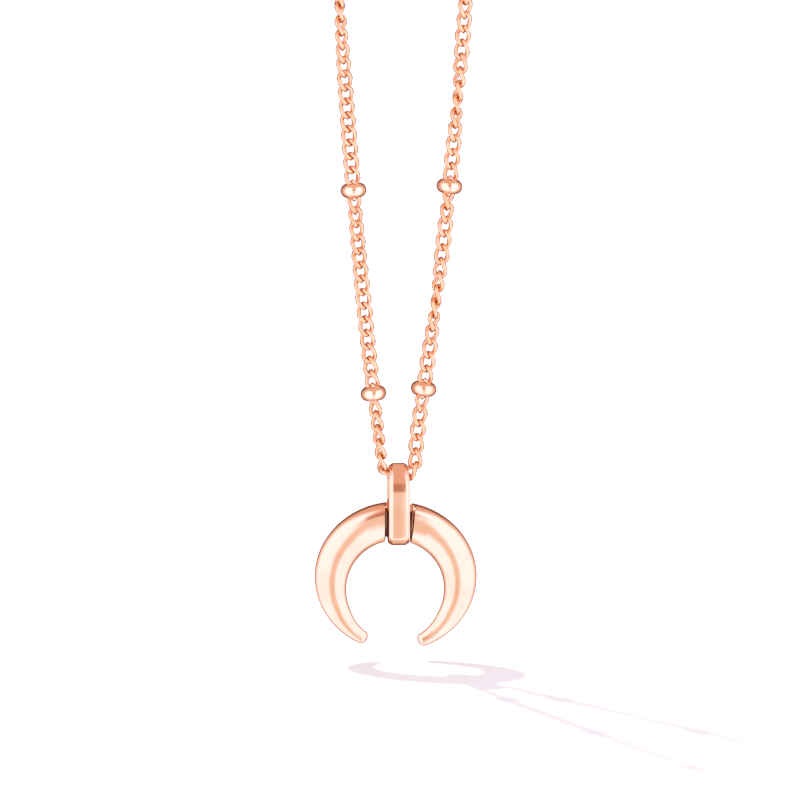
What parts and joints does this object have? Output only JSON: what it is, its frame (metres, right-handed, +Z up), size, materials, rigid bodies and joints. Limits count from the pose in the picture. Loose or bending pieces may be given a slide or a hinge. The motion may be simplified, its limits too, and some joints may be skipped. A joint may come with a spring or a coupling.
{
  "type": "pendant necklace",
  "caption": "Double-horn crescent pendant on a flat strap bail, hung on a closed curb chain with turned beads at even stations and a lobster clasp.",
  "frame": {"origin": "crown of the round peg that the necklace hangs on, 1.75 mm under the middle line of the clasp, on the pendant's middle line", "axes": "+Z up the hanging necklace; -Y is the front of the pendant and +X its right-hand side seen from the front"},
  "size_m": [0.0301, 0.0052, 0.2228],
  "materials": {
    "chain_gold": "polished rose-gold plate on drawn wire",
    "bead_gold": "polished rose-gold plate on turned beads",
    "pendant_gold": "mirror-polished rose-gold plate",
    "clasp_gold": "tumbled rose-gold plate",
    "spring_steel": "bright spring wire"
  },
  "bodies": {
    "root": {"clasp_body": "clasp_gold", "clasp_pin": "clasp_gold", "clasp_spring": "spring_steel", "end_link_left": "chain_gold", "end_link_right": "chain_gold", "chain_left_8": "chain_gold", "chain_right_8": "chain_gold", "bead_left_8": "bead_gold", "bead_right_8": "bead_gold"},
    "jump_ring_left": {"jump_ring_left": "clasp_gold"},
    "jump_ring_right": {"jump_ring_right": "clasp_gold"},
    "clasp_trigger": {"clasp_trigger": "clasp_gold"},
    "span_7": {"chain_left_7": "chain_gold", "chain_right_7": "chain_gold", "bead_left_7": "bead_gold", "bead_right_7": "bead_gold"},
    "span_6": {"chain_left_6": "chain_gold", "chain_right_6": "chain_gold", "bead_left_6": "bead_gold", "bead_right_6": "bead_gold"},
    "span_5": {"chain_left_5": "chain_gold", "chain_right_5": "chain_gold", "bead_left_5": "bead_gold", "bead_right_5": "bead_gold"},
    "span_4": {"chain_left_4": "chain_gold", "chain_right_4": "chain_gold", "bead_left_4": "bead_gold", "bead_right_4": "bead_gold"},
    "span_3": {"chain_left_3": "chain_gold", "chain_right_3": "chain_gold", "bead_left_3": "bead_gold", "bead_right_3": "bead_gold"},
    "span_2": {"chain_left_2": "chain_gold", "chain_right_2": "chain_gold", "bead_left_2": "bead_gold", "bead_right_2": "bead_gold"},
    "span_1": {"chain_left_1": "chain_gold", "chain_right_1": "chain_gold", "bead_left_1": "bead_gold", "bead_right_1": "bead_gold"},
    "swag": {"chain_centre": "chain_gold"},
    "bail": {"bail": "pendant_gold"},
    "crescent": {"crescent": "pendant_gold"}
  },
  "joints": [
    {"name": "clasp_trigger_open", "type": "hinge", "parent": "root", "child": "clasp_trigger", "pos_m": [-0.00029, -0.0003, 0.00175], "axis": [0, 0, 1], "range_deg": [0, 22], "stiffness_Nm_per_rad": 0.002, "springref_deg": -5.73, "deforming": ["clasp_spring"]},
    {"name": "jump_ring_left_turn", "type": "hinge", "parent": "root", "child": "jump_ring_left", "pos_m": [-0.00304, 0, 0.00175], "axis": [0, 1, 0], "range_deg": [0, 6]},
    {"name": "jump_ring_right_turn", "type": "hinge", "parent": "root", "child": "jump_ring_right", "pos_m": [0.00436, 0, 0.00175], "axis": [0, 1, 0], "range_deg": [-6, 0]},
    {"name": "span_7_swing", "type": "hinge", "parent": "root", "child": "span_7", "pos_m": [0.00066, 0, -0.01109], "axis": [0.9999, 0, 0.0151], "range_deg": [-30, 30]},
    {"name": "span_6_swing", "type": "hinge", "parent": "span_7", "child": "span_6", "pos_m": [0.00067, 0, -0.03647], "axis": [0.9999, 0, 0.0161], "range_deg": [-30, 30]},
    {"name": "span_5_swing", "type": "hinge", "parent": "span_6", "child": "span_5", "pos_m": [0.00066, 0, -0.06186], "axis": [0.9998, 0, 0.0173], "range_deg": [-30, 30]},
    {"name": "span_4_swing", "type": "hinge", "parent": "span_5", "child": "span_4", "pos_m": [0.00065, 0, -0.08723], "axis": [0.9998, 0, 0.0191], "range_deg": [-30, 30]},
    {"name": "span_3_swing", "type": "hinge", "parent": "span_4", "child": "span_3", "pos_m": [0.00062, 0, -0.1126], "axis": [0.9998, 0, 0.0218], "range_deg": [-30, 30]},
    {"name": "span_2_swing", "type": "hinge", "parent": "span_3", "child": "span_2", "pos_m": [0.00054, 0, -0.13796], "axis": [0.9996, 0, 0.0267], "range_deg": [-30, 30]},
    {"name": "span_1_swing", "type": "hinge", "parent": "span_2", "child": "span_1", "pos_m": [0.00038, 0, -0.16327], "axis": [0.9993, 0, 0.0382], "range_deg": [-30, 30]},
    {"name": "swag_swing", "type": "hinge", "parent": "span_1", "child": "swag", "pos_m": [0.00001, 0, -0.18851], "axis": [0.9961, 0, 0.0883], "range_deg": [-30, 30]},
    {"name": "bail_swing", "type": "hinge", "parent": "swag", "child": "bail", "pos_m": [0, 0, -0.19852], "axis": [1, 0, 0], "range_deg": [-30, 30]},
    {"name": "crescent_swing", "type": "hinge", "parent": "bail", "child": "crescent", "pos_m": [0, 0, -0.2046], "axis": [1, 0, 0], "range_deg": [-20, 20]}
  ]
}
